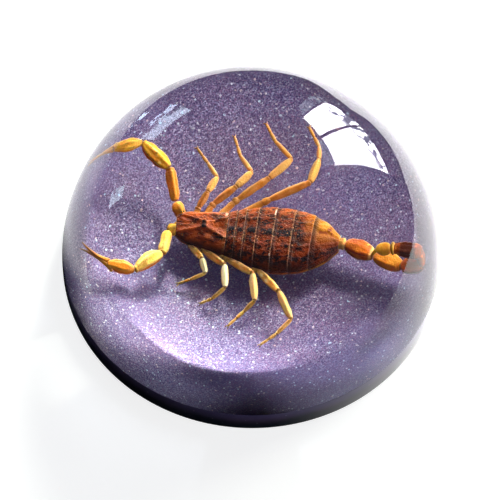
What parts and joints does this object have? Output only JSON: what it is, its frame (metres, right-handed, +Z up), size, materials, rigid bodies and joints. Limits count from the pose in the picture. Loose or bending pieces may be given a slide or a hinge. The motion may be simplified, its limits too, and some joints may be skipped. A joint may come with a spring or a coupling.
{
  "type": "scorpion resin dome paperweight",
  "caption": "Half-ball of clear resin with a dried golden scorpion inside, on a layer of purple glitter resin with a flat underside.",
  "frame": {"origin": "centre of the flat underside", "axes": "+Z up through the top of the dome, the scorpion's head towards -X and its right side towards +Y"},
  "size_m": [0.075, 0.075, 0.0375],
  "materials": {
    "clear_resin": "water-clear cast resin, polished",
    "purple_glitter_resin": "opaque purple cast resin full of fine glitter",
    "dried_shell": "dried golden to dark brown shell, waxy"
  },
  "bodies": {
    "root": {"glitter_base": "purple_glitter_resin", "clear_bed": "clear_resin", "clear_dome": "clear_resin", "scorpion": "dried_shell"}
  },
  "joints": []
}
